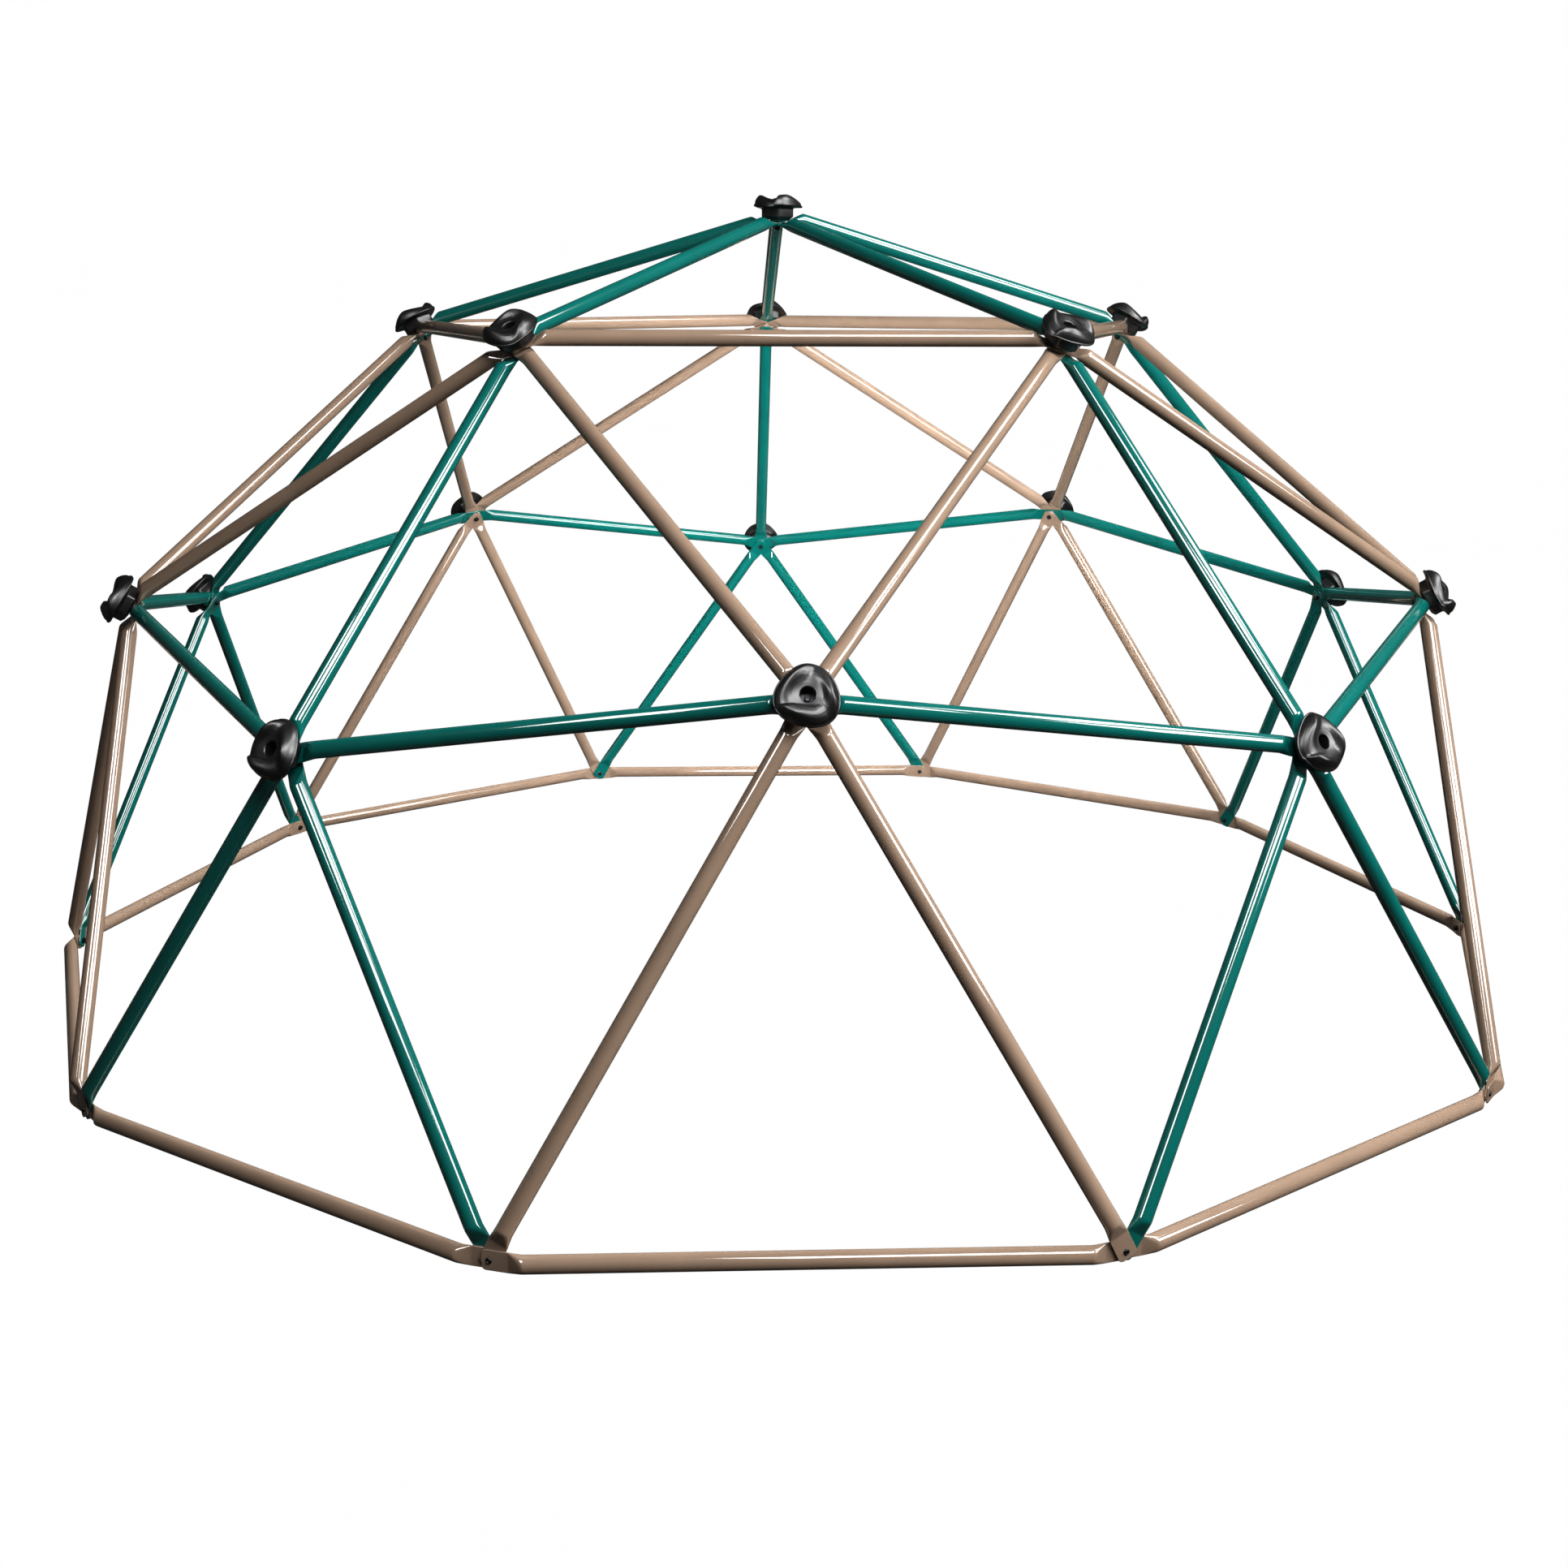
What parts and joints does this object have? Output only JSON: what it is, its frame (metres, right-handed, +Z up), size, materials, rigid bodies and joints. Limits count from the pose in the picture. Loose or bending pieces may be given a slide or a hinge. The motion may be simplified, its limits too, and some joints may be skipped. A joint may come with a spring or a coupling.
{
  "type": "dome climber",
  "caption": "Free-standing geodesic climbing dome of bolted two-tone steel tubes with a black moulded cap on every joint above the ground.",
  "frame": {"origin": "on the ground, under the apex, at the centre of the ring of ground joints", "axes": "+Z up through the apex; +X through one ground joint; -Y is the pictured front"},
  "size_m": [2.9024, 2.7876, 1.5057],
  "materials": {
    "teal_tube": "glossy teal powder coat on steel tube",
    "tan_tube": "glossy tan powder coat on steel tube",
    "cap_black": "glossy black injection-moulded plastic",
    "fastener_black": "black oxide steel bolts, washers and nuts"
  },
  "bodies": {
    "root": {"hub_cap_apex": "cap_black", "hub_cap_upper_1": "cap_black", "hub_cap_upper_2": "cap_black", "hub_cap_upper_3": "cap_black", "hub_cap_upper_4": "cap_black", "hub_cap_upper_5": "cap_black", "hub_cap_corner_1": "cap_black", "hub_cap_corner_2": "cap_black", "hub_cap_corner_3": "cap_black", "hub_cap_corner_4": "cap_black", "hub_cap_corner_5": "cap_black", "hub_cap_face_1": "cap_black", "hub_cap_face_2": "cap_black", "hub_cap_face_3": "cap_black", "hub_cap_face_4": "cap_black", "hub_cap_face_5": "cap_black", "apex_tube_1": "teal_tube", "apex_tube_2": "teal_tube", "apex_tube_3": "teal_tube", "apex_tube_4": "teal_tube", "apex_tube_5": "teal_tube", "upper_ring_tube_1": "tan_tube", "upper_ring_tube_2": "tan_tube", "upper_ring_tube_3": "tan_tube", "upper_ring_tube_4": "tan_tube", "upper_ring_tube_5": "tan_tube", "shoulder_tube_1": "teal_tube", "shoulder_tube_2": "teal_tube", "shoulder_tube_3": "teal_tube", "shoulder_tube_4": "teal_tube", "shoulder_tube_5": "teal_tube", "upper_tube_pair_1": "tan_tube", "upper_tube_pair_2": "tan_tube", "upper_tube_pair_3": "tan_tube", "upper_tube_pair_4": "tan_tube", "upper_tube_pair_5": "tan_tube", "belt_tube_pair_1": "teal_tube", "belt_tube_pair_2": "teal_tube", "belt_tube_pair_3": "teal_tube", "belt_tube_pair_4": "teal_tube", "belt_tube_pair_5": "teal_tube", "teal_leg_pair_1": "teal_tube", "teal_leg_pair_2": "teal_tube", "teal_leg_pair_3": "teal_tube", "teal_leg_pair_4": "teal_tube", "teal_leg_pair_5": "teal_tube", "tan_leg_pair_1": "tan_tube", "tan_leg_pair_2": "tan_tube", "tan_leg_pair_3": "tan_tube", "tan_leg_pair_4": "tan_tube", "tan_leg_pair_5": "tan_tube", "ground_tube_pair_1": "tan_tube", "ground_tube_pair_2": "tan_tube", "ground_tube_pair_3": "tan_tube", "ground_tube_pair_4": "tan_tube", "ground_tube_pair_5": "tan_tube"}
  },
  "joints": []
}
